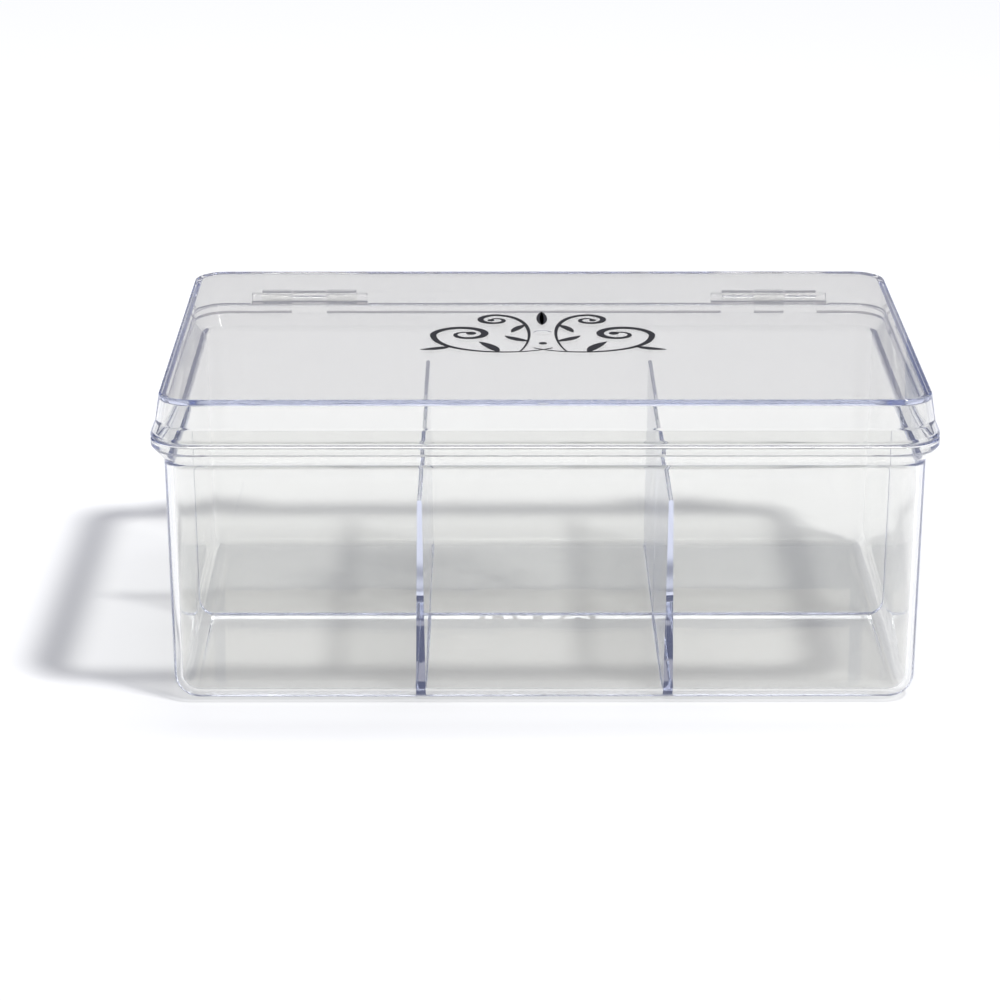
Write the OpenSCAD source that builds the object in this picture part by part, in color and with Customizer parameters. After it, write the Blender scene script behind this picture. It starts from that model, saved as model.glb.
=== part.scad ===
// Clear tea bag box: a moulded base with six compartments, and a lid on two rear hinges.
// The origin is the centre of the flat underside, +X runs to the right and +Y to the hinges.

/* [Box] */
// Width over the rims
box_w = 222; // [200:1:260]
// Depth over the rims, without the hinges
box_d = 151; // [130:1:190]
// Height of the base at its rim
base_h = 78; // [74:1:110]
// Height of the lid above its own rim
lid_h = 12.85; // [11.5:0.05:24]
// Gap between the closed rims
seam = 0.15; // [0.1:0.05:0.3]
// Corner radius of the rims, seen from above
corner_r = 12.5; // [12:0.1:20]

/* [Base] */
// Thickness of the side walls of the base
wall_t = 2.3; // [1.6:0.1:2.6]
// Thickness of the floor
floor_t = 2.2; // [1.6:0.1:3]
// Radius of the edge round the underside
foot_r = 7; // [4:0.5:7]
// How far each wall leans inwards from its top to its foot
wall_lean = 1; // [0.5:0.1:1.2]
// How far the rim stands out beyond the wall
rim_out = 3.7; // [2.5:0.1:4]
// Height of the rim's upright band
rim_band = 2.5; // [2.2:0.1:4]
// Height of the curve from the wall out to the rim
rim_cove = 5.2; // [4:0.1:8]

/* [Dividers] */
// Height of the dividers above the underside
divider_h = 61; // [40:1:68]
// Thickness of a divider at its top edge
divider_top_t = 1.6; // [1.2:0.1:2.4]
// Thickness of a divider just above the floor
divider_root_t = 2.8; // [2.4:0.1:3.6]
// Radius where a divider meets the floor
divider_root_r = 1.5; // [0.5:0.1:3]

/* [Lid] */
// Thickness of the lid's side walls
lid_wall_t = 2; // [1.4:0.1:2.4]
// Thickness of the lid's flat top
lid_top_t = 2; // [1.4:0.1:3]
// How far the lid's wall lies inside its rim
lid_in = 2; // [1:0.1:2.5]
// How far the lid's wall leans inwards towards the top
lid_lean = 0.3; // [0.1:0.1:1]
// Height of the lid rim's upright band
lid_band = 1.6; // [1:0.1:2]
// Height of the curve from the lid's rim up to its wall
lid_flare = 5.4; // [4:0.1:5.6]
// Radius of the lid's top edge
lid_edge_r = 3; // [2.6:0.1:3]
// Diameter of the round moulding mark under the lid's centre
gate_d = 5.5; // [3:0.5:8]
// Depth of the moulding mark
gate_depth = 0.3; // [0.1:0.1:0.6]

/* [Hinges] */
// Distance of each hinge's middle from the end of the box
hinge_inset = 37.8; // [34:0.1:50]
// Distance of the hinge line behind the rims
hinge_out = 2; // [1.9:0.1:2.3]
// Height of the hinge line above the base's rim
hinge_up = 1.5; // [1.3:0.1:1.8]
// Diameter of a hinge rod
rod_d = 4; // [3:0.1:4.2]
// Length of a hinge rod
rod_len = 37; // [33:0.5:40]
// Diameter of the knuckles round the rod
knuckle_d = 5.6; // [5.4:0.1:6]
// Length of one row of knuckles
knuckle_row = 30; // [26:0.5:32]
// Length of one knuckle on the base
base_knuckle_w = 9.4; // [8:0.1:10]
// Radius of the back corner of the base's knuckles, which stops the open lid
stop_r = 1.85; // [1.8:0.05:2.6]
// Depth of the pockets in the base's rim, under the lid's knuckles
pocket_depth = 3; // [2:0.1:3.4]
// Clearance beside and in front of a knuckle
knuckle_gap = 0.3; // [0.2:0.05:0.5]
// Radial clearance of the rod in the base
rod_fit = 0.02; // [0.01:0.01:0.05]
// Radial clearance of the lid's knuckles on the rod
rod_play = 0.06; // [0.04:0.01:0.1]

/* [Ornament] */
// Width of the printed flourish
ornament_w = 72; // [50:1:90]
// Thickness of the printed ink
ink_t = 0.1; // [0.05:0.05:0.2]
// Width of the widest ink stroke
stroke_w = 2.3; // [1.5:0.1:3]
// Width of a stroke at its thin ends
hair_w = 0.5; // [0.3:0.1:0.8]
// How far the fullest leaf bows out from its middle line
leaf_w = 3; // [2:0.1:4]

/* [Hidden] */
$fn = 64;
clear_plastic = [0.86, 0.88, 0.94, 0.35];
clear_rod = [0.80, 0.82, 0.92, 0.45];
black_ink = [0.05, 0.05, 0.06];

// How far a cutting shape runs past the face that it opens
past = 1;
// Steps along each curve of a wall's outline
curve_steps = 10;
// Share of the wall's thickness that its inner curve sits higher by, to keep it even
curve_shift = 0.4;
// Least flat that stays between the underside's edge and the corner's centre
foot_flat = 0.2;
// How far an arm or web is rooted in the wall that carries it
root_depth = 0.5;
// Radius of the round dots and steps along each edge of a leaf
bud_r = 1.5;
leaf_steps = 12;
// Side of one cell of the grid that the flourish is drawn on, which is 80 cells wide
cell = ornament_w/80;

// Places worked out from the sizes above
foot = min(foot_r, corner_r - rim_out - wall_lean - foot_flat);
inner_foot = foot - wall_t;
band_z = base_h - rim_band;
cove_z = band_z - rim_cove;
lid_z = base_h + seam;
top_z = lid_z + lid_h;
lid_inner_edge_r = lid_edge_r - lid_wall_t;
// Three columns of equal width, from the middle of one side wall to the middle of the other
column_pitch = (box_w - 2*rim_out - wall_t)/3;
hinge_x = box_w/2 - hinge_inset;
hinge_y = box_d/2 + hinge_out;
hinge_z = base_h + hinge_up;
rod_r = rod_d/2;
knuckle_r = knuckle_d/2;
// Face of the pockets and notches that clear the knuckles
notch_y = hinge_y - knuckle_r - knuckle_gap;
// Length of the lid's knuckle between two of the base's, and of one beside the base's
lid_middle_w = knuckle_row - 2*base_knuckle_w - 2*knuckle_gap;
lid_side_w = (knuckle_row - base_knuckle_w)/2 - knuckle_gap;
// Middles of the knuckles, from the hinge's own middle
side_knuckle_x = (knuckle_row - base_knuckle_w)/2;
lid_side_x = (knuckle_row - lid_side_w)/2;

function arc(centre, r, from, to) =
    [for (i = [0:curve_steps])
        let (a = from + (to - from)*i/curve_steps)
        centre + r*[cos(a), sin(a)]];

// Smooth step between two places of a wall's outline, each an inset and a height
function wave(from, to) =
    [for (i = [0:curve_steps])
        let (u = i/curve_steps)
        [from.x + (to.x - from.x)*(1 - cos(180*u))/2, from.y + (to.y - from.y)*u]];

// Block with rounded plan corners. Its outline runs from its lowest to its highest place.
// Each place is an inset from the rim and a height.
module rounded_block(outline) {
    core_w = box_w - 2*corner_r;
    core_d = box_d - 2*corner_r;
    low = outline[0].y;
    high = outline[len(outline) - 1].y;
    side = [for (p = outline) [corner_r - p.x, p.y]];
    translate([-core_w/2, -core_d/2, low])
        cube([core_w, core_d, high - low]);
    for (turn = [0, 180]) rotate(turn) {
        translate([-core_w/2, core_d/2, 0])
            rotate([90, 0, 90])
                linear_extrude(core_w)
                    polygon(side);
        translate([core_w/2, core_d/2, 0])
            rotate([90, 0, 0])
                linear_extrude(core_d)
                    polygon(side);
        translate([core_w/2, core_d/2, 0])
            rotate_extrude(angle = 90)
                polygon(side);
        translate([-core_w/2, core_d/2, 0])
            rotate(90)
                rotate_extrude(angle = 90)
                    polygon(side);
    }
}

module base_outside() {
    wall_foot = rim_out + wall_lean;
    rounded_block(concat(
        [[corner_r, 0]],
        arc([wall_foot + foot, foot], foot, 270, 180),
        wave([rim_out, cove_z], [0, band_z]),
        [[0, base_h], [corner_r, base_h]]));
}

module base_cavity() {
    wall_foot = rim_out + wall_lean + wall_t;
    shift = wall_t*curve_shift;
    rounded_block(concat(
        [[corner_r, floor_t]],
        arc([wall_foot + inner_foot, floor_t + inner_foot], inner_foot, 270, 180),
        wave([rim_out + wall_t, cove_z + shift], [wall_t, band_z + shift]),
        [[wall_t, base_h + past], [corner_r, base_h + past]]));
}

module lid_outside() {
    wall_top = lid_in + lid_lean;
    rounded_block(concat(
        [[corner_r, lid_z], [0, lid_z]],
        wave([0, lid_z + lid_band], [lid_in, lid_z + lid_band + lid_flare]),
        arc([wall_top + lid_edge_r, top_z - lid_edge_r], lid_edge_r, 180, 90),
        [[corner_r, top_z]]));
}

module lid_cavity() {
    wall_top = lid_in + lid_lean + lid_wall_t;
    shift = lid_wall_t*curve_shift;
    under = top_z - lid_top_t;
    rounded_block(concat(
        [[corner_r, lid_z - past], [lid_wall_t, lid_z - past]],
        wave([lid_wall_t, lid_z + lid_band + shift], [lid_in + lid_wall_t, lid_z + lid_band + lid_flare + shift]),
        arc([wall_top + lid_inner_edge_r, under - lid_inner_edge_r], lid_inner_edge_r, 180, 90),
        [[corner_r, under]]));
}

// Cross section of a divider, thicker at its root and rounded into the floor
module divider_section() {
    half_foot = divider_root_t/2 + divider_root_r;
    flank = concat(
        [[half_foot, floor_t - past]],
        arc([half_foot, floor_t + divider_root_r], divider_root_r, 270, 180),
        [[divider_top_t/2, divider_h - divider_top_t/4], [divider_top_t/4, divider_h]]);
    polygon(concat(flank, [for (i = [len(flank) - 1:-1:0]) [-flank[i].x, flank[i].y]]));
}

module dividers() {
    for (side = [-1, 1])
        translate([side*column_pitch/2, box_d/2, 0])
            rotate([90, 0, 0])
                linear_extrude(box_d)
                    divider_section();
    translate([-box_w/2, 0, 0])
        rotate([90, 0, 90])
            linear_extrude(box_w)
                divider_section();
}

// Places a child drawn behind and above the hinge line as a piece of the given length
module along_hinge(middle, length) {
    translate([middle - length/2, hinge_y, hinge_z])
        rotate([90, 0, 90])
            linear_extrude(length)
                children();
}

// Knuckle of the base, with the square back corner that stops the lid and an arm down to the rim
module base_knuckle_section() {
    corner = knuckle_r - stop_r;
    arm_front = -hinge_out - root_depth;
    circle(r = knuckle_r);
    polygon(concat(
        [[0, 0], [arm_front, -hinge_up], [arm_front, -hinge_up - rim_band + root_depth], [knuckle_r, -hinge_up/2]],
        arc([corner, corner], stop_r, 0, 90),
        [[0, knuckle_r]]));
}

// Knuckle of the lid, with the web that joins it to the lid's rim
module lid_knuckle_section() {
    web_front = -knuckle_r - knuckle_gap - root_depth;
    circle(r = knuckle_r);
    polygon([[0, seam - hinge_up], [0, rod_r], [web_front, rod_r], [web_front, seam - hinge_up]]);
}

module rod_bore(middle, r) {
    translate([middle - knuckle_row/2 - past/4, hinge_y, hinge_z])
        rotate([0, 90, 0])
            cylinder(r = r, h = knuckle_row + past/2);
}

// Room for a knuckle in a rim, from its lowest height up
module knuckle_room(middle, length, low, height) {
    translate([middle - length/2 - knuckle_gap, notch_y, low])
        cube([length + 2*knuckle_gap, 2*knuckle_d, height]);
}

module base() {
    color(clear_plastic)
    difference() {
        union() {
            difference() {
                base_outside();
                difference() {
                    base_cavity();
                    dividers();
                }
                knuckle_room(-hinge_x, lid_middle_w, base_h - pocket_depth, knuckle_d);
                for (side = [-1, 1])
                    knuckle_room(hinge_x + side*lid_side_x, lid_side_w, base_h - pocket_depth, knuckle_d);
            }
            for (side = [-1, 1])
                along_hinge(-hinge_x + side*side_knuckle_x, base_knuckle_w)
                    base_knuckle_section();
            along_hinge(hinge_x, base_knuckle_w)
                base_knuckle_section();
        }
        for (side = [-1, 1])
            rod_bore(side*hinge_x, rod_r + rod_fit);
    }
}

module lid() {
    color(clear_plastic)
    difference() {
        union() {
            difference() {
                lid_outside();
                lid_cavity();
                for (side = [-1, 1])
                    knuckle_room(side*hinge_x, rod_len, lid_z - past, lid_band + lid_flare + past);
                translate([0, 0, top_z - lid_top_t - past])
                    cylinder(d = gate_d, h = gate_depth + past);
            }
            along_hinge(-hinge_x, lid_middle_w)
                lid_knuckle_section();
            for (side = [-1, 1])
                along_hinge(hinge_x + side*lid_side_x, lid_side_w)
                    lid_knuckle_section();
        }
        for (side = [-1, 1])
            rod_bore(side*hinge_x, rod_r + rod_play);
    }
}

module hinge_rod(middle) {
    color(clear_rod)
    translate([middle - rod_len/2, hinge_y, hinge_z])
        rotate([0, 90, 0])
            cylinder(r = rod_r, h = rod_len);
}

module hinge_rod_left() {
    hinge_rod(-hinge_x);
}

module hinge_rod_right() {
    hinge_rod(hinge_x);
}

function bezier(p, t) =
    pow(1 - t, 3)*p[0] + 3*t*pow(1 - t, 2)*p[1] + 3*t*t*(1 - t)*p[2] + t*t*t*p[3];

function unit(v) = v/norm(v);

// Places along a sweeping stem, and along a curl that winds inwards from the stem's end
function stem(p, steps) = [for (i = [0:steps]) bezier(p, i/steps)];
function curl(centre, r_out, r_in, from, turn, steps) =
    [for (i = [1:steps])
        let (t = i/steps, r = r_out*pow(r_in/r_out, t), a = from + turn*t)
        centre + r*[cos(a), sin(a)]];

// Pen stroke along a path, thin at its ends, wide in the middle and closed by a round dot
module pen_stroke(path, wide, dot_r) {
    last = len(path) - 1;
    function half(i) = (hair_w + (wide - hair_w)*pow(sin(180*i/last), 1.6))/2;
    function across(i) =
        let (d = unit(path[min(i + 1, last)] - path[max(i - 1, 0)]))
        [-d.y, d.x];
    polygon(concat(
        [for (i = [0:last]) path[i] + half(i)*across(i)],
        [for (i = [last:-1:0]) path[i] - half(i)*across(i)]));
    translate(path[last])
        circle(r = dot_r);
}

// Pointed leaf from its stalk to its tip, fuller on one side
module leaf(stalk, tip, wide) {
    along = tip - stalk;
    across = wide*[-along.y, along.x]/norm(along);
    polygon(concat(
        stem([stalk, stalk + along*0.2 + across, stalk + along*0.7 + across, tip], leaf_steps),
        stem([tip, tip - along*0.4 - across*0.4, stalk + along*0.2 - across*0.4, stalk], leaf_steps)));
}

// Right half of the flourish: two curled stems from one root, with leaves and a bud.
// Its places are counted in cells from the middle of the lid.
module flourish_half() {
    outer_end = cell*[36, -4];
    outer_r = cell*10.8;
    outer_eye = cell*2.2;
    inner_end = cell*[15.5, 20.5];
    inner_r = cell*6.6;
    inner_eye = cell*1.5;
    outer_stem = concat(cell*[[-3, -20.5], [8, -30], [36, -27]], [outer_end]);
    inner_stem = concat(cell*[[7.5, -24.6], [2.5, -10], [2.5, 19.5]], [inner_end]);
    pen_stroke(concat(
        stem(outer_stem, 26),
        curl(outer_end - [outer_r, 0], outer_r, outer_eye, 0, 500, 52)), stroke_w, bud_r);
    pen_stroke(concat(
        stem(inner_stem, 26),
        curl(inner_end - [0, inner_r], inner_r, inner_eye, 90, -450, 40)), stroke_w*0.8, bud_r*0.7);
    leaf(cell*[14.5, -25.4], cell*[21, -13], leaf_w);
    leaf(cell*[4.6, -12.5], cell*[12.5, -5.5], -leaf_w*0.85);
    leaf(cell*[5.6, 8], cell*[10.2, -1.5], leaf_w*0.75);
    leaf(cell*[30, -18.8], cell*[40, -22.5], -leaf_w*0.8);
    leaf(cell*[0, 8], cell*[0, 25], -leaf_w*0.72);
    translate(cell*[0, -15])
        circle(r = bud_r*0.8);
}

module lid_ornament() {
    color(black_ink)
    translate([0, 0, top_z])
        linear_extrude(ink_t)
            for (side = [0, 1])
                mirror([side, 0])
                    flourish_half();
}

base();
lid();
hinge_rod_left();
hinge_rod_right();
lid_ornament();
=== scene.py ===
import bmesh
import bpy
import math
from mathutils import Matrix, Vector


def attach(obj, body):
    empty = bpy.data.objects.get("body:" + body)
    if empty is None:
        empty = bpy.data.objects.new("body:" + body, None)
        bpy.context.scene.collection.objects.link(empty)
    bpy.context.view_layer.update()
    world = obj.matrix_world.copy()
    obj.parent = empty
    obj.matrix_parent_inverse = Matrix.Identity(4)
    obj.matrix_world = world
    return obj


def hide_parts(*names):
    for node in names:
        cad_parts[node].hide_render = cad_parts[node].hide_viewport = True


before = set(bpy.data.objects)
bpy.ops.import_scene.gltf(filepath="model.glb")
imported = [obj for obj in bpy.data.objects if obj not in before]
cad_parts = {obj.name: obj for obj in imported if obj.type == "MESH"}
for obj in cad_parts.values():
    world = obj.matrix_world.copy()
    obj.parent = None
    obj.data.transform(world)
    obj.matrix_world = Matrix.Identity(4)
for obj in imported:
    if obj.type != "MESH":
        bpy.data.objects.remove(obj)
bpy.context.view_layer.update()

# Camera
# A long lens looks down on the box from the front, a little left of its middle,
# so that the lid's top, the hinges behind it and all six compartments show.
camera_pitch = math.radians(18.0)
camera_yaw = math.radians(0.10)
sensor_w = 36.0
focal_share = 3.482
camera = bpy.data.objects.new("camera", bpy.data.cameras.new("camera"))
camera.location = (-0.01434, -1.00027, 0.36327)
camera.rotation_euler = (math.pi / 2 - camera_pitch, 0.0, -camera_yaw)
camera.data.sensor_width = sensor_w
camera.data.lens = sensor_w * focal_share
camera.data.clip_start = 0.05
camera.data.clip_end = 30.0
scene = bpy.context.scene
scene.collection.objects.link(camera)
scene.camera = camera

# Studio
# Seamless white paper under the box, a softbox from the front right, a wide one overhead, and a
# white card behind that lights the lid's top. The pale room is dimmer and bluer towards the back.
scene.view_settings.view_transform = "Standard"

# Light runs to and fro inside a clear edge, and with fewer bounces the edges turn black.
edge_bounces = 200
scene.cycles.max_bounces = edge_bounces
scene.cycles.transmission_bounces = edge_bounces
scene.cycles.glossy_bounces = edge_bounces
scene.cycles.diffuse_bounces = 3
scene.cycles.transparent_max_bounces = 40
scene.cycles.caustics_reflective = False
scene.cycles.caustics_refractive = False


def add_node(tree, kind, inputs=None, **settings):
    """Adds one node, sets its properties, and sets or links its inputs."""
    made = tree.nodes.new(kind)
    for name, value in settings.items():
        setattr(made, name, value)
    for socket, value in (inputs or {}).items():
        if isinstance(value, bpy.types.NodeSocket):
            tree.links.new(value, made.inputs[socket])
        else:
            made.inputs[socket].default_value = value
    return made


def hex_colour(code):
    """Linear colour, with an alpha of 1, from an sRGB code such as F2F4F8."""
    shares = [int(code[i:i + 2], 16) / 255.0 for i in (0, 2, 4)]
    return [s / 12.92 if s <= 0.04045 else ((s + 0.055) / 1.055) ** 2.4 for s in shares] + [1.0]


def plain_material(name):
    """New material with an empty node tree."""
    material = bpy.data.materials.new(name)
    material.use_nodes = True
    material.node_tree.nodes.clear()
    return material, material.node_tree


room_front = 0.34
room_back = 0.21
world = bpy.data.worlds.new("pale room")
scene.world = world
world.use_nodes = True
world.cycles.sampling_method = "MANUAL"
world.cycles.sample_map_resolution = 256
room = world.node_tree
room.nodes.clear()
direction = add_node(room, "ShaderNodeTexCoord").outputs["Generated"]
parts = add_node(room, "ShaderNodeSeparateXYZ", {0: direction})
rear = add_node(room, "ShaderNodeMapRange", {
    "Value": parts.outputs["Y"],
    "From Min": -1.0, "From Max": 1.0, "To Min": 0.0, "To Max": 1.0}).outputs[0]
walls = add_node(room, "ShaderNodeMapRange", {"Value": rear, "To Min": room_front, "To Max": room_back})
tint = add_node(room, "ShaderNodeMix", {
    0: rear, 6: hex_colour("FFFEFC"), 7: hex_colour("B6C2F8")}, data_type="RGBA")
glow = add_node(room, "ShaderNodeBackground", {"Color": tint.outputs[2], "Strength": walls.outputs[0]})
add_node(room, "ShaderNodeOutputWorld", {0: glow.outputs[0]})


def add_lamp(name, place, turn, width, depth, radiance, colour="FFFFFF"):
    """Rectangular area lamp of an even radiance."""
    lamp = bpy.data.objects.new(name, bpy.data.lights.new(name, "AREA"))
    scene.collection.objects.link(lamp)
    lamp.location = place
    lamp.rotation_euler = turn
    lamp.data.shape = "RECTANGLE"
    lamp.data.size = width
    lamp.data.size_y = depth
    lamp.data.energy = radiance * math.pi * width * depth
    lamp.data.color = hex_colour(colour)[:3]
    return lamp


softbox_place = Vector((0.606, -0.55, 1.51))
add_lamp("softbox", softbox_place, softbox_place.to_track_quat("Z", "Y").to_euler(),
         width=0.22, depth=0.22, radiance=190.723)
add_lamp("white card", (0.0, 0.5, 0.24), (math.radians(-90.0), 0.0, 0.0),
         width=0.34, depth=0.12, radiance=0.36, colour="FFF7E4")
add_lamp("overhead softbox", (0.0, 0.2, 1.2), (math.radians(-9.0), 0.0, 0.0),
         width=0.6, depth=0.22, radiance=7.4)

# White paper: matt and seamless. The light of the softbox falls off across it, and a little glow
# that only the eye and the clear plastic see makes up for that, so the sheet stays even.
floor_half = 6.0
floor_drop = 0.0003
paper_glow = 0.69
softbox_part = 1.10
least_glow = 0.02
paper, tree = plain_material("white paper")
matte = add_node(tree, "ShaderNodeBsdfDiffuse", {"Color": hex_colour("E8E8E8")})
spot = add_node(tree, "ShaderNodeTexCoord").outputs["Object"]
softbox_foot = (softbox_place.x, softbox_place.y, 0.0)
away = add_node(tree, "ShaderNodeVectorMath", {0: spot, 1: softbox_foot}, operation="DISTANCE")
slope = add_node(tree, "ShaderNodeMath", {
    0: away.outputs["Value"], 1: softbox_place.z}, operation="DIVIDE").outputs[0]
spread = add_node(tree, "ShaderNodeMath", {
    0: slope, 1: slope, 2: 1.0}, operation="MULTIPLY_ADD").outputs[0]
fall = add_node(tree, "ShaderNodeMath", {0: spread, 1: -2.0}, operation="POWER").outputs[0]
short = add_node(tree, "ShaderNodeMath", {
    0: fall, 1: -softbox_part, 2: paper_glow}, operation="MULTIPLY_ADD")
fill = add_node(tree, "ShaderNodeMath", {0: short.outputs[0], 1: least_glow}, operation="MAXIMUM")
lift = add_node(tree, "ShaderNodeEmission", {"Strength": fill.outputs[0]})
ray = add_node(tree, "ShaderNodeLightPath").outputs
seen = ray["Is Camera Ray"]
for other in ("Is Glossy Ray", "Is Transmission Ray"):
    both = add_node(tree, "ShaderNodeMath", {0: seen, 1: ray[other]}, operation="ADD", use_clamp=True)
    seen = both.outputs[0]
unlit = add_node(tree, "ShaderNodeEmission", {"Strength": 0.0})
lifted = add_node(tree, "ShaderNodeMixShader", {0: seen, 1: unlit.outputs[0], 2: lift.outputs[0]})
sheet = add_node(tree, "ShaderNodeAddShader", {0: matte.outputs[0], 1: lifted.outputs[0]})
add_node(tree, "ShaderNodeOutputMaterial", {0: sheet.outputs[0]})
floor_mesh = bpy.data.meshes.new("floor")
floor_corners = [(x * floor_half, y * floor_half, -floor_drop)
                 for x, y in ((-1, -1), (1, -1), (1, 1), (-1, 1))]
floor_mesh.from_pydata(floor_corners, [], [(0, 1, 2, 3)])
floor_mesh.materials.append(paper)
floor_piece = bpy.data.objects.new("floor", floor_mesh)
scene.collection.objects.link(floor_piece)

# Base
# The open box with its six compartments is one injection moulding in clear general-purpose
# polystyrene. Its rim stands out round the mouth, and its hinge knuckles are moulded on behind.
MM = 0.001
box_w = 222.0
box_d = 151.0
corner_r = 12.5
base_h = 78.0
floor_t = 2.2
wall_t = 2.3
rim_out = 3.7
wall_lean = 1.0
foot_r = 7.0
lip_r = 0.5
graze_power = 5.0
graze_loss = 0.7


def clear_plastic(name, grain, depth, colour, index, toner, density):
    """Glossy clear plastic with a faint relief, and a toner that tints long paths through it.

    Light on its way to the paper passes straight through, dimmed where it grazes a wall and
    stopped at the faces that carry the lip mark, so the floor keeps the shadow of each edge."""
    material, tree = plain_material(name)
    place = add_node(tree, "ShaderNodeTexCoord").outputs["Object"]
    drawn = add_node(tree, "ShaderNodeMapping", {"Vector": place, "Scale": grain}).outputs[0]
    flow = add_node(tree, "ShaderNodeTexNoise", {
        "Vector": drawn, "Scale": 1.0, "Detail": 2.0, "Roughness": 0.4}).outputs["Fac"]
    relief = add_node(tree, "ShaderNodeBump", {"Height": flow, "Strength": 1.0, "Distance": depth})
    gloss = add_node(tree, "ShaderNodeBsdfPrincipled", {
        "Base Color": colour, "Roughness": 0.0, "IOR": index, "Transmission Weight": 1.0,
        "Normal": relief.outputs[0]})
    slant = add_node(tree, "ShaderNodeLayerWeight", {"Blend": 0.5}).outputs["Facing"]
    grazing = add_node(tree, "ShaderNodeMath", {0: slant, 1: graze_power}, operation="POWER").outputs[0]
    lost = add_node(tree, "ShaderNodeMath", {0: grazing, 1: graze_loss}, operation="MULTIPLY").outputs[0]
    lip = add_node(tree, "ShaderNodeAttribute", attribute_name="lip").outputs["Fac"]
    dark = add_node(tree, "ShaderNodeMath", {0: lost, 1: lip}, operation="MAXIMUM").outputs[0]
    shade = add_node(tree, "ShaderNodeMix", {
        0: dark, 6: hex_colour("FBFBFA"), 7: hex_colour("000000")}, data_type="RGBA")
    passed = add_node(tree, "ShaderNodeBsdfTransparent", {0: shade.outputs[2]}).outputs[0]
    ray = add_node(tree, "ShaderNodeLightPath").outputs
    for_paper = add_node(tree, "ShaderNodeMixShader", {
        0: ray["Is Diffuse Ray"], 1: gloss.outputs[0], 2: passed}).outputs[0]
    surface = add_node(tree, "ShaderNodeMixShader", {0: ray["Is Shadow Ray"], 1: for_paper, 2: passed})
    thick = add_node(tree, "ShaderNodeVolumeAbsorption", {"Color": toner, "Density": density})
    add_node(tree, "ShaderNodeOutputMaterial", {0: surface.outputs[0], 1: thick.outputs[0]})
    return material


# Crystal polystyrene moulded in polished steel: a hard gloss with flow waves about 25 mm apart,
# and a blue toner that shows where the eye looks along a wall or into an edge.
polystyrene = clear_plastic("clear moulded polystyrene", (40.0, 40.0, 40.0), 0.00002,
                            hex_colour("F9F9F7"), 1.59, hex_colour("6186DA"), 2.9)


def arc(centre, radius, start, end, steps=12):
    """Points on an arc of a wall's outline, each an inset from the rim and a height."""
    turns = [math.radians(start + (end - start) * i / steps) for i in range(steps + 1)]
    return [(centre[0] + radius * math.cos(a), centre[1] + radius * math.sin(a)) for a in turns]


def bend(before, corner, after, radius, steps=6):
    """Points of a wall's outline that round the corner between two straight stretches."""
    corner = Vector(corner)
    back, on = (Vector(before) - corner).normalized(), (Vector(after) - corner).normalized()
    half = back.angle(on) / 2
    centre = corner + (back + on).normalized() * radius / math.sin(half)
    start = corner + back * radius / math.tan(half) - centre
    end = corner + on * radius / math.tan(half) - centre
    return [tuple(centre + start.lerp(end, i / steps).normalized() * radius) for i in range(steps + 1)]


def outline_mesh(name, outline, closed):
    """Mesh of edges along an outline given in millimetres."""
    mesh = bpy.data.meshes.new(name)
    edges = [(i, i + 1) for i in range(len(outline) - 1)]
    if closed:
        edges.append((len(outline) - 1, 0))
    mesh.from_pydata([(x * MM, y * MM, 0.0) for x, y in outline], edges, [])
    return mesh


def new_tree(name, inputs):
    """Geometry node tree with a geometry input first, then the named inputs, by their names."""
    tree = bpy.data.node_groups.new(name, "GeometryNodeTree")
    tree.interface.new_socket(name="Geometry", in_out="INPUT", socket_type="NodeSocketGeometry")
    for label, kind in inputs.items():
        tree.interface.new_socket(name=label, in_out="INPUT", socket_type="NodeSocket" + kind)
    tree.interface.new_socket(name="Geometry", in_out="OUTPUT", socket_type="NodeSocketGeometry")
    given = tree.nodes.new("NodeGroupInput")
    return tree, {label: given.outputs[label] for label in ["Geometry", *inputs]}


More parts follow.
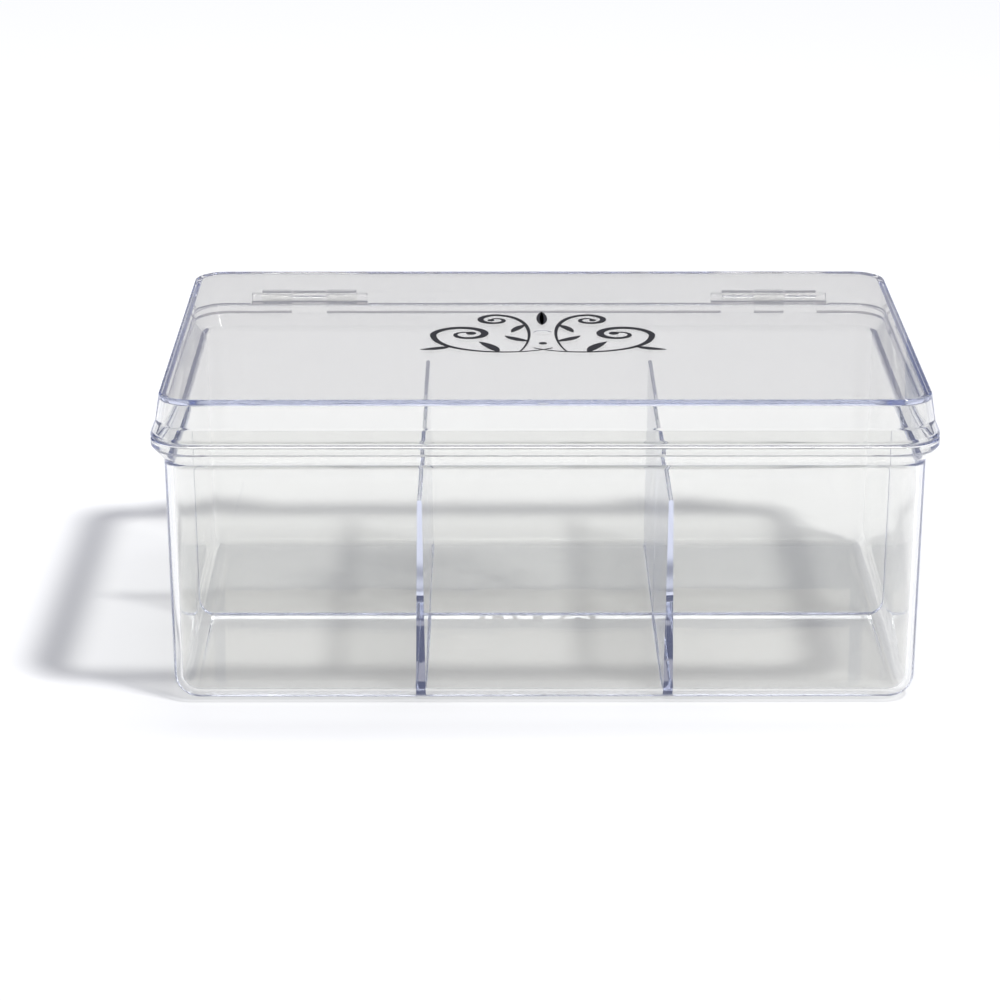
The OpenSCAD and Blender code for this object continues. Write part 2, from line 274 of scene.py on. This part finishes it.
def swept_block_tree():
    """Closed block whose wall outline runs round a rectangle with round corners.

    Column by column, the outline is carried round the four corner centres, and two flat
    plates close the middle. The nudge before each division keeps its floor exact."""
    tree, value = new_tree("swept block", {
        "Width": "Float", "Depth": "Float", "Corner radius": "Float", "Corner steps": "Int",
        "Material": "Material"})
    nudge = 0.25
    outline = value["Geometry"]
    size = add_node(tree, "GeometryNodeAttributeDomainSize", {0: outline})
    value["rows"] = size.outputs["Point Count"]
    value["index"] = add_node(tree, "GeometryNodeInputIndex").outputs[0]
    for name, operation, *terms in (
            ("per corner", "ADD", "Corner steps", 1),
            ("columns", "MULTIPLY_ADD", "per corner", 4, 1),
            ("place in rows", "ADD", "index", nudge),
            ("column share", "DIVIDE", "place in rows", "rows"),
            ("column", "FLOOR", "column share"),
            ("before", "MULTIPLY", "column", "rows"),
            ("row", "SUBTRACT", "index", "before"),
            ("last row", "SUBTRACT", "rows", 1),
            ("place in columns", "ADD", "column", nudge),
            ("corner share", "DIVIDE", "place in columns", "per corner"),
            ("corner", "FLOOR", "corner share"),
            ("earlier", "MULTIPLY", "corner", "per corner"),
            ("step", "SUBTRACT", "column", "earlier"),
            ("step share", "DIVIDE", "step", "Corner steps"),
            ("quarters", "ADD", "corner", "step share"),
            ("angle", "MULTIPLY", "quarters", math.pi / 2),
            ("diagonal", "MULTIPLY_ADD", "corner", math.pi / 2, math.pi / 4),
            ("corner width", "MULTIPLY", "Corner radius", 2),
            ("middle width", "SUBTRACT", "Width", "corner width"),
            ("middle depth", "SUBTRACT", "Depth", "corner width"),
            ("diagonal x", "COSINE", "diagonal"),
            ("diagonal y", "SINE", "diagonal"),
            ("side x", "SIGN", "diagonal x"),
            ("side y", "SIGN", "diagonal y"),
            ("half width", "MULTIPLY", "middle width", 0.5),
            ("half depth", "MULTIPLY", "middle depth", 0.5),
            ("centre x", "MULTIPLY", "side x", "half width"),
            ("centre y", "MULTIPLY", "side y", "half depth"),
            ("way x", "COSINE", "angle"),
            ("way y", "SINE", "angle")):
        value[name] = add_node(tree, "ShaderNodeMath", {
            i: value.get(term, term) for i, term in enumerate(terms)}, operation=operation).outputs[0]
    here = add_node(tree, "GeometryNodeInputPosition").outputs[0]
    grid = add_node(tree, "GeometryNodeMeshGrid", {
        "Vertices X": value["columns"], "Vertices Y": value["rows"]}).outputs["Mesh"]
    point = add_node(tree, "GeometryNodeSampleIndex", {
        "Geometry": outline, "Value": here, "Index": value["row"]},
        data_type="FLOAT_VECTOR", domain="POINT")
    parts = add_node(tree, "ShaderNodeSeparateXYZ", {0: point.outputs[0]}).outputs
    reach = add_node(tree, "ShaderNodeMath", {
        0: value["Corner radius"], 1: parts["X"]}, operation="SUBTRACT").outputs[0]
    around = {"Z": parts["Y"]}
    for axis in ("x", "y"):
        carried = add_node(tree, "ShaderNodeMath", {
            0: value["way " + axis], 1: reach, 2: value["centre " + axis]}, operation="MULTIPLY_ADD")
        around[axis.upper()] = carried.outputs[0]
    target = add_node(tree, "ShaderNodeCombineXYZ", around).outputs[0]
    wall = add_node(tree, "GeometryNodeSetPosition", {"Geometry": grid, "Position": target})
    pieces = [wall.outputs[0]]
    for at in (0, value["last row"]):
        end = add_node(tree, "GeometryNodeSampleIndex", {
            "Geometry": outline, "Value": here, "Index": at}, data_type="FLOAT_VECTOR", domain="POINT")
        level = add_node(tree, "ShaderNodeSeparateXYZ", {0: end.outputs[0]}).outputs["Y"]
        plate = add_node(tree, "GeometryNodeMeshGrid", {
            "Vertices X": 2, "Vertices Y": 2,
            "Size X": value["middle width"], "Size Y": value["middle depth"]})
        raised = add_node(tree, "ShaderNodeCombineXYZ", {"Z": level})
        pieces.append(add_node(tree, "GeometryNodeTransform", {
            "Geometry": plate.outputs["Mesh"], "Translation": raised.outputs[0]}).outputs[0])
    joined = add_node(tree, "GeometryNodeJoinGeometry")
    for piece in pieces:
        tree.links.new(piece, joined.inputs[0])
    merged = add_node(tree, "GeometryNodeMergeByDistance", {
        "Geometry": joined.outputs[0], "Distance": 0.000005}).outputs[0]
    realized = add_node(tree, "GeometryNodeRealizeInstances", {0: merged}).outputs[0]
    finished = add_node(tree, "GeometryNodeSetMaterial", {
        "Geometry": realized, "Material": value["Material"]})
    add_node(tree, "NodeGroupOutput", {0: finished.outputs[0]})
    return tree


def bar_row_tree():
    """Row of equal closed bars: a cross section drawn along X, turned, and repeated by a step.

    A section comes out upside down on its path, so each bar is also rolled half a turn."""
    tree, value = new_tree("bar row", {
        "Length": "Float", "Turn": "Float", "Count": "Int", "Step": "Vector", "Middle": "Vector",
        "Material": "Material"})
    ends = []
    for share in (-0.5, 0.5):
        end = add_node(tree, "ShaderNodeMath", {0: value["Length"], 1: share}, operation="MULTIPLY")
        ends.append(add_node(tree, "ShaderNodeCombineXYZ", {"X": end.outputs[0]}).outputs[0])
    path = add_node(tree, "GeometryNodeCurvePrimitiveLine", {"Start": ends[0], "End": ends[1]})
    section = add_node(tree, "GeometryNodeMeshToCurve", {"Mesh": value["Geometry"]})
    bar = add_node(tree, "GeometryNodeCurveToMesh", {
        "Curve": path.outputs[0], "Profile Curve": section.outputs[0], "Fill Caps": True})
    turn = add_node(tree, "ShaderNodeCombineXYZ", {"X": math.pi, "Z": value["Turn"]})
    turned = add_node(tree, "GeometryNodeTransform", {
        "Geometry": bar.outputs[0], "Rotation": turn.outputs[0]}).outputs[0]
    gaps = add_node(tree, "ShaderNodeMath", {
        0: value["Count"], 1: 1.0}, operation="SUBTRACT").outputs[0]
    halves = add_node(tree, "ShaderNodeMath", {0: gaps, 1: -0.5}, operation="MULTIPLY").outputs[0]
    before = add_node(tree, "ShaderNodeVectorMath", {
        0: value["Step"], "Scale": halves}, operation="SCALE")
    first = add_node(tree, "ShaderNodeVectorMath", {
        0: before.outputs[0], 1: value["Middle"]}, operation="ADD").outputs[0]
    places = add_node(tree, "GeometryNodeMeshLine", {
        "Count": value["Count"], "Start Location": first, "Offset": value["Step"]},
        mode="OFFSET").outputs[0]
    row = add_node(tree, "GeometryNodeInstanceOnPoints", {"Points": places, "Instance": turned})
    realized = add_node(tree, "GeometryNodeRealizeInstances", {0: row.outputs[0]}).outputs[0]
    merged = add_node(tree, "GeometryNodeMergeByDistance", {"Geometry": realized, "Distance": 0.000001})
    finished = add_node(tree, "GeometryNodeSetMaterial", {
        "Geometry": merged.outputs[0], "Material": value["Material"]})
    add_node(tree, "NodeGroupOutput", {0: finished.outputs[0]})
    return tree


def bake_modifier(piece, modifier):
    """Turns a piece's modified shape into its plain mesh and removes the modifier."""
    shaped = piece.evaluated_get(bpy.context.evaluated_depsgraph_get())
    result = bpy.data.meshes.new_from_object(shaped)
    spent = piece.data
    piece.modifiers.remove(modifier)
    piece.data = result
    bpy.data.meshes.remove(spent)


def clean_mesh(mesh, merge):
    """Merges doubled corners, drops faces of no size and turns all faces outwards."""
    work = bmesh.new()
    work.from_mesh(mesh)
    if merge:
        bmesh.ops.remove_doubles(work, verts=work.verts, dist=0.000002)
    bmesh.ops.dissolve_degenerate(work, dist=0.000001, edges=work.edges)
    bmesh.ops.recalc_face_normals(work, faces=work.faces)
    work.to_mesh(mesh)
    work.free()


def grown(name, mesh, tree, inputs):
    """Runs a geometry node tree on a mesh and returns the result as a plain mesh object."""
    piece = bpy.data.objects.new(name, mesh)
    scene.collection.objects.link(piece)
    modifier = piece.modifiers.new(tree.name, "NODES")
    modifier.node_group = tree
    for item in tree.interface.items_tree:
        if item.in_out == "INPUT" and item.name in inputs:
            modifier[item.identifier] = inputs[item.name]
    bake_modifier(piece, modifier)
    clean_mesh(piece.data, False)
    return piece


def combine(piece, tool, operation):
    """Cuts or joins a piece with a tool solid, which is then deleted."""
    modifier = piece.modifiers.new(operation, "BOOLEAN")
    modifier.operation = operation
    modifier.solver = "MANIFOLD"
    modifier.object = tool
    bake_modifier(piece, modifier)
    bpy.data.objects.remove(tool)


def solid_from(work, name, material):
    """Turns a bmesh into an object of one material."""
    mesh = bpy.data.meshes.new(name)
    work.to_mesh(mesh)
    work.free()
    mesh.materials.append(material)
    piece = bpy.data.objects.new(name, mesh)
    scene.collection.objects.link(piece)
    return piece


def block(name, low, high):
    """Plain cutting block between two corners given in millimetres."""
    work = bmesh.new()
    bmesh.ops.create_cube(work, size=1.0)
    for vertex in work.verts:
        vertex.co = [MM * (low[i] if vertex.co[i] < 0 else high[i]) for i in range(3)]
    return solid_from(work, name, polystyrene)


crisp_angle = math.radians(32)
largest_faces_only = 100


def finish_mesh(piece):
    """Smooth shading with crisp edges, where flat walls stay optically flat."""
    clean_mesh(piece.data, True)
    piece.data.shade_smooth()
    piece.data.set_sharp_from_angle(angle=crisp_angle)
    weighted = piece.modifiers.new("weighted", "WEIGHTED_NORMAL")
    weighted.mode = "FACE_AREA"
    weighted.weight = largest_faces_only
    weighted.keep_sharp = True
    bake_modifier(piece, weighted)


swept_block = swept_block_tree()
bar_row = bar_row_tree()
block_sizes = {"Width": box_w * MM, "Depth": box_d * MM, "Corner radius": corner_r * MM,
               "Corner steps": 20, "Material": polystyrene}
wall_foot = rim_out + wall_lean
inner_foot_r = foot_r - wall_t
rim_bend = 0.5
rim_z = 75.9
rim_foot = (rim_out, 71.7)
rim_edge = (0.0, rim_z)
shoulder_bend = 3.0
shoulder = (rim_out + wall_t, 71.0)
throat = (wall_t, 75.5)
overcut = 1.0
base_outside = (
    [(corner_r, 0.0)] + arc((wall_foot + foot_r, foot_r), foot_r, 270, 180, 16)
    + bend((rim_out, foot_r), rim_foot, rim_edge, rim_bend)
    + bend(rim_foot, rim_edge, (0.0, base_h), rim_bend)
    + arc((lip_r, base_h - lip_r), lip_r, 180, 90, 4)
    + [(corner_r, base_h)])
base_inside = (
    [(corner_r, floor_t)]
    + arc((wall_foot + wall_t + inner_foot_r, floor_t + inner_foot_r), inner_foot_r, 270, 180, 14)
    + bend((rim_out + wall_t, floor_t), shoulder, throat, shoulder_bend, 10)
    + bend(shoulder, throat, (wall_t, base_h), rim_bend)
    + arc((wall_t - lip_r, base_h - lip_r), lip_r, 0, 90, 4)[:-1]
    + [(wall_t - lip_r, base_h), (wall_t - lip_r, base_h + overcut), (corner_r, base_h + overcut)])
base = grown("tea_box_base", outline_mesh("outside", base_outside, False), swept_block, block_sizes)
hollow = grown("hollow", outline_mesh("inside", base_inside, False), swept_block, block_sizes)

divider_h = 61.0
divider_top_t = 1.3
divider_root_t = 2.8
divider_root_r = 0.5
divider_lip_r = 0.45
divider_lip_z = divider_h - 3.5
divider_draft = 0.035
column_pitch = (box_w - 2 * rim_out - wall_t) / 3
half_foot = divider_root_t / 2 + divider_root_r
flank = (
    [(half_foot, floor_t - overcut)]
    + arc((half_foot, floor_t + divider_root_r), divider_root_r, 270, 180, 6)
    + [(divider_top_t / 2 + divider_draft, divider_lip_z)]
    + arc((divider_top_t / 2 - divider_lip_r, divider_h - divider_lip_r), divider_lip_r, 0, 90, 6))
divider_section = flank + [(-x, z) for x, z in reversed(flank)]
for name, length, turn, count in (
        ("cross_dividers", box_d, math.pi / 2, 2), ("long_divider", box_w, 0.0, 1)):
    bars = grown(name, outline_mesh(name, divider_section, True), bar_row, {
        "Length": length * MM, "Turn": turn, "Count": count, "Step": (column_pitch * MM, 0.0, 0.0),
        "Middle": (0.0, 0.0, 0.0), "Material": polystyrene})
    combine(hollow, bars, "DIFFERENCE")
combine(base, hollow, "DIFFERENCE")

hinge_inset = 37.8
hinge_out = 2.0
hinge_up = 1.5
rod_r = 2.0
knuckle_r = 2.8
knuckle_row = 30.0
knuckle_gap = 0.3
base_knuckle_w = 9.4
stop_r = 1.85
pocket_depth = 3.0
pocket_h = 6.0
reach_out = 12.0
hinge_x = box_w / 2 - hinge_inset
hinge_y = box_d / 2 + hinge_out
hinge_z = base_h + hinge_up
base_knuckle_x = (knuckle_row - base_knuckle_w) / 2
lid_middle_w = knuckle_row - 2 * base_knuckle_w - 2 * knuckle_gap
lid_side_w = (knuckle_row - base_knuckle_w) / 2 - knuckle_gap
lid_side_x = (knuckle_row - lid_side_w) / 2
notch_y = hinge_y - knuckle_r - knuckle_gap


def round_section(radius):
    """Outline of a round bar."""
    return arc((0.0, 0.0), radius, 0, 360 - 7.5, 47)


def hinge_row(section, length, count, middle, pitch):
    """Row of knuckles or bores of one cross section, on the hinge's axis."""
    return grown("hinge_row", outline_mesh("section", section, True), bar_row, {
        "Length": length * MM, "Turn": 0.0, "Count": count, "Step": (pitch * MM, 0.0, 0.0),
        "Middle": (middle * MM, hinge_y * MM, hinge_z * MM), "Material": polystyrene})


pocket_low = base_h - pocket_depth
for middle, length in ((-hinge_x, lid_middle_w), (hinge_x - lid_side_x, lid_side_w),
                       (hinge_x + lid_side_x, lid_side_w)):
    half = length / 2 + knuckle_gap
    combine(base, block("pocket", (middle - half, notch_y, pocket_low),
                        (middle + half, notch_y + reach_out, pocket_low + pocket_h)), "DIFFERENCE")
stop_corner = knuckle_r - stop_r
arm_front = -2.5
arm_back = -1.9
arm_foot = -3.5
arm_section = (
    [(0.0, 0.0), (arm_front, -hinge_up), (arm_front, arm_foot)]
    + [(arm_back, arm_foot), (arm_back, arm_back)]
    + arc((stop_corner, stop_corner), stop_r, 0, 90, 8) + [(0.0, knuckle_r)])
for section in (round_section(knuckle_r), arm_section):
    for count, middle in ((2, -hinge_x), (1, hinge_x)):
        combine(base, hinge_row(section, base_knuckle_w, count, middle, 2 * base_knuckle_x), "UNION")
rod_fit = 0.02
bore_w = knuckle_row + 0.5
combine(base, hinge_row(round_section(rod_r + rod_fit), bore_w, 2, 0.0, 2 * hinge_x), "DIFFERENCE")
finish_mesh(base)

# The lip mark goes on the dividers' tops and the rim, whose edges bend light away from the paper.
divider_mark_z = divider_h - 3.4
rim_mark_z = 69.8
mark_slack = 0.1
inside_x = 104.0 * MM
inside_y = 68.5 * MM
divider_mark = 1.0
rim_mark = 0.9
lip = base.data.attributes.new("lip", "FLOAT", "FACE")
for face, mark in zip(base.data.polygons, lip.data):
    height = face.center.z / MM
    inside = abs(face.center.x) < inside_x and abs(face.center.y) < inside_y
    if inside and divider_mark_z < height < divider_h + mark_slack:
        mark.value = divider_mark
    if height > rim_mark_z:
        mark.value = rim_mark
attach(base, "base")
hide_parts("base")

# Lid
# The lid is a second clear moulding: a flat top with a soft edge, a wall that flares out to
# the rim, and a round gate mark under its middle. Its knuckles turn on the rods.
lid_z = base_h + 0.15
top_z = lid_z + 12.85
lid_in = 1.45
lid_lean = 1.15
lid_wall_t = 2.0
lid_top_t = 2.0
lid_band = 1.0
lid_flare = 4.6
flare_bend = 1.5
wall_bend = 3.0
lid_edge_r = 0.7
lid_inner_edge_r = 0.3
wall_top = lid_in + lid_lean
under = top_z - lid_top_t
lid_outside = (
    [(corner_r, lid_z), (lip_r, lid_z)] + arc((lip_r, lid_z + lip_r), lip_r, 270, 180, 4)[1:]
    + bend((0.0, lid_z), (0.0, lid_z + lid_band), (lid_in, lid_z + lid_flare), flare_bend)
    + bend((0.0, lid_z + lid_band), (lid_in, lid_z + lid_flare), (wall_top, top_z), wall_bend)
    + arc((wall_top + lid_edge_r, top_z - lid_edge_r), lid_edge_r, 180, 90, 14)
    + [(corner_r, top_z)])
inner_band = (lid_wall_t, lid_z + lid_band)
inner_flare = (lid_in + lid_wall_t, lid_z + lid_flare)
inner_edge = wall_top + lid_wall_t
lid_inside = (
    [(corner_r, lid_z - overcut), (lid_wall_t - lip_r, lid_z - overcut), (lid_wall_t - lip_r, lid_z)]
    + arc((lid_wall_t - lip_r, lid_z + lip_r), lip_r, 270, 360, 4)[1:]
    + bend((lid_wall_t, lid_z), inner_band, inner_flare, flare_bend)
    + bend(inner_band, inner_flare, (inner_edge, top_z), wall_bend)
    + arc((inner_edge + lid_inner_edge_r, under - lid_inner_edge_r), lid_inner_edge_r, 180, 90, 8)
    + [(corner_r, under)])
lid = grown("tea_box_lid", outline_mesh("outside", lid_outside, False), swept_block, block_sizes)
hollow = grown("hollow", outline_mesh("inside", lid_inside, False), swept_block, block_sizes)
combine(lid, hollow, "DIFFERENCE")
rod_half = 18.5
notch_h = 7.0
for side in (-1, 1):
    half = rod_half + knuckle_gap
    combine(lid, block("notch", (side * hinge_x - half, notch_y, lid_z - overcut),
                       (side * hinge_x + half, notch_y + reach_out, lid_z + notch_h)), "DIFFERENCE")
web_front = -knuckle_r - knuckle_gap - 0.5
web_low = -1.35
web_section = [(0.0, web_low), (0.0, rod_r), (web_front, rod_r), (web_front, web_low)]
for section in (round_section(knuckle_r), web_section):
    for count, middle, length in ((1, -hinge_x, lid_middle_w), (2, hinge_x, lid_side_w)):
        combine(lid, hinge_row(section, length, count, middle, 2 * lid_side_x), "UNION")
rod_play = 0.06
combine(lid, hinge_row(round_section(rod_r + rod_play), bore_w, 2, 0.0, 2 * hinge_x), "DIFFERENCE")
gate_r = 2.75 * MM
gate_h = 1.3
gate_low = under - 1.0
work = bmesh.new()
bmesh.ops.create_cone(work, cap_ends=True, segments=48, depth=gate_h * MM,
                      radius1=gate_r, radius2=gate_r)
bmesh.ops.translate(work, verts=work.verts, vec=(0.0, 0.0, (gate_low + gate_h / 2) * MM))
combine(lid, solid_from(work, "gate", polystyrene), "DIFFERENCE")
finish_mesh(lid)
lid_mark_z = lid_z + 7.5
lip = lid.data.attributes.new("lip", "FLOAT", "FACE")
for face, mark in zip(lid.data.polygons, lip.data):
    if face.center.z / MM < lid_mark_z:
        mark.value = rim_mark
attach(lid, "lid")
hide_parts("lid")

# Hinge rods
# Two clear acrylic rods, cut from extruded bar and bevelled, are pressed through the base's
# knuckles, and their ends stand out beyond each row.
rod_bevel = 0.3
rod_sides = 48

# Extruded acrylic: water-clear and colourless, with draw lines under a millimetre apart along
# the rod, drawn coarser than the real ones, that break the bright reflection into threads.
acrylic = clear_plastic("clear extruded acrylic", (30.0, 1500.0, 1500.0), 0.000004,
                        hex_colour("FCFCFC"), 1.49, hex_colour("CBDADD"), 0.8)
for name, side in (("hinge_rod_left", -1), ("hinge_rod_right", 1)):
    work = bmesh.new()
    rings = []
    for radius, along in (
            (0.0, -rod_half), (rod_r - rod_bevel, -rod_half), (rod_r, rod_bevel - rod_half),
            (rod_r, rod_half - rod_bevel), (rod_r - rod_bevel, rod_half), (0.0, rod_half)):
        turns = [2 * math.pi * i / rod_sides for i in range(rod_sides if radius else 1)]
        rings.append([work.verts.new((
            (side * hinge_x + along) * MM, (hinge_y + radius * math.cos(a)) * MM,
            (hinge_z + radius * math.sin(a)) * MM)) for a in turns])
    for first, second in zip(rings, rings[1:]):
        for i in range(rod_sides):
            corners = ((first, i), (first, i + 1), (second, i + 1), (second, i))
            quad = [ring[j % len(ring)] for ring, j in corners]
            work.faces.new(list(dict.fromkeys(quad)))
    rod = solid_from(work, "clear_" + name, acrylic)
    finish_mesh(rod)
    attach(rod, "base")
    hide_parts(name)

# Lid ornament
# A scroll of curled stems and leaves is pad printed on the lid in one coat of
# black ink. It is a plain pattern, and it fills the middle of the lid.
cell = 0.9
ink_t = 0.1
thin = 0.5
swell = 1.6


def stem(places, steps):
    """Points along a sweeping stem that four places counted in cells pull into shape."""
    points = []
    for i in range(steps + 1):
        t = i / steps
        shares = ((1 - t) ** 3, 3 * t * (1 - t) ** 2, 3 * t * t * (1 - t), t ** 3)
        points.append(sum((Vector(p) * s for s, p in zip(shares, places)), Vector((0.0, 0.0))) * cell)
    return points


def curl(centre, r_out, r_in, start, turn, steps):
    """Points along a curl that winds inwards."""
    points = []
    for i in range(1, steps + 1):
        t = i / steps
        a = math.radians(start + turn * t)
        reach = r_out * (r_in / r_out) ** t
        points.append((Vector(centre) + Vector((math.cos(a), math.sin(a))) * reach) * cell)
    return points


def dot(centre, radius):
    """Outline of a round dot."""
    turns = [2 * math.pi * i / 40 for i in range(40)]
    return [Vector(centre) + Vector((math.cos(a), math.sin(a))) * radius for a in turns]


def pen_stroke(path, wide, dot_r):
    """Outlines of a stroke that is thin at its ends and closed by a round dot."""
    last = len(path) - 1
    left, right = [], []
    for i, place in enumerate(path):
        way = (path[min(i + 1, last)] - path[max(i - 1, 0)]).normalized()
        across = Vector((-way.y, way.x))
        half = (thin + (wide - thin) * abs(math.sin(math.pi * i / last)) ** swell) / 2
        left.append(place + across * half)
        right.append(place - across * half)
    quads = [[right[i], right[i + 1], left[i + 1], left[i]] for i in range(last)]
    return quads + [dot(path[last], dot_r)]


def leaf(stalk, tip, wide):
    """Outline of a pointed leaf, fuller on one side."""
    stalk, tip = Vector(stalk), Vector(tip)
    along = tip - stalk
    across = Vector((-along.y, along.x)).normalized() * (wide / cell)
    front = stem([stalk, stalk + along * 0.2 + across, stalk + along * 0.7 + across, tip], 20)
    back = stem([tip, tip - along * 0.4 - across * 0.4, stalk + along * 0.2 - across * 0.4, stalk], 20)
    return front + back[1:-1]


# Pad printing ink: one thin matt coat, not quite black, whose stipple from the silicone pad gives
# the strokes a soft satin sheen. Its grains are drawn 0.4 mm apart, coarser than the real ones.
ink, tree = plain_material("black pad printing ink")
place = add_node(tree, "ShaderNodeTexCoord").outputs["Object"]
stipple = add_node(tree, "ShaderNodeTexNoise", {
    "Vector": place, "Scale": 2500.0, "Detail": 3.0, "Roughness": 0.6}).outputs["Fac"]
coat = add_node(tree, "ShaderNodeMix", {
    0: stipple, 6: hex_colour("121213"), 7: hex_colour("1E1D1F")}, data_type="RGBA")
sheen = add_node(tree, "ShaderNodeMapRange", {"Value": stipple, "To Min": 0.40, "To Max": 0.58})
peel = add_node(tree, "ShaderNodeBump", {"Height": stipple, "Strength": 1.0, "Distance": 0.000006})
dry = add_node(tree, "ShaderNodeBsdfPrincipled", {
    "Base Color": coat.outputs[2], "Roughness": sheen.outputs[0], "IOR": 1.5,
    "Normal": peel.outputs[0]})
add_node(tree, "ShaderNodeOutputMaterial", {0: dry.outputs[0]})

half_print = (
    pen_stroke(stem([(-3, -20.5), (8, -30), (36, -27), (36, -4)], 60)
               + curl((25.2, -4), 10.8, 2.2, 0, 500, 120), 2.3, 1.5)
    + pen_stroke(stem([(7.5, -24.6), (2.5, -10), (2.5, 19.5), (15.5, 20.5)], 60)
                 + curl((15.5, 13.9), 6.6, 1.5, 90, -450, 92), 1.84, 1.05)
    + [leaf((14.5, -25.4), (21, -13), 3.0), leaf((4.6, -12.5), (12.5, -5.5), -2.55),
       leaf((5.6, 8), (10.2, -1.5), 2.25), leaf((30, -18.8), (40, -22.5), -2.4),
       leaf((0, 8), (0, 25), -2.16)])
outlines = [[Vector((side * p.x, p.y)) for p in outline] for side in (1, -1) for outline in half_print]
outlines.append(dot((0.0, -15 * cell), 1.2))
work = bmesh.new()
for outline in outlines:
    low, high = [[work.verts.new((p.x * MM, p.y * MM, z * MM)) for p in outline]
                 for z in (top_z, top_z + ink_t)]
    work.faces.new(high)
    work.faces.new(list(reversed(low)))
    for i in range(len(outline)):
        j = (i + 1) % len(outline)
        work.faces.new([low[i], low[j], high[j], high[i]])
bmesh.ops.remove_doubles(work, verts=work.verts, dist=0.0000001)
inner_walls = [face for face in work.faces if all(len(edge.link_faces) > 2 for edge in face.edges)]
bmesh.ops.delete(work, geom=inner_walls, context="FACES")
bmesh.ops.recalc_face_normals(work, faces=work.faces)
ornament = solid_from(work, "printed_flourish", ink)
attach(ornament, "lid")
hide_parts("lid_ornament")
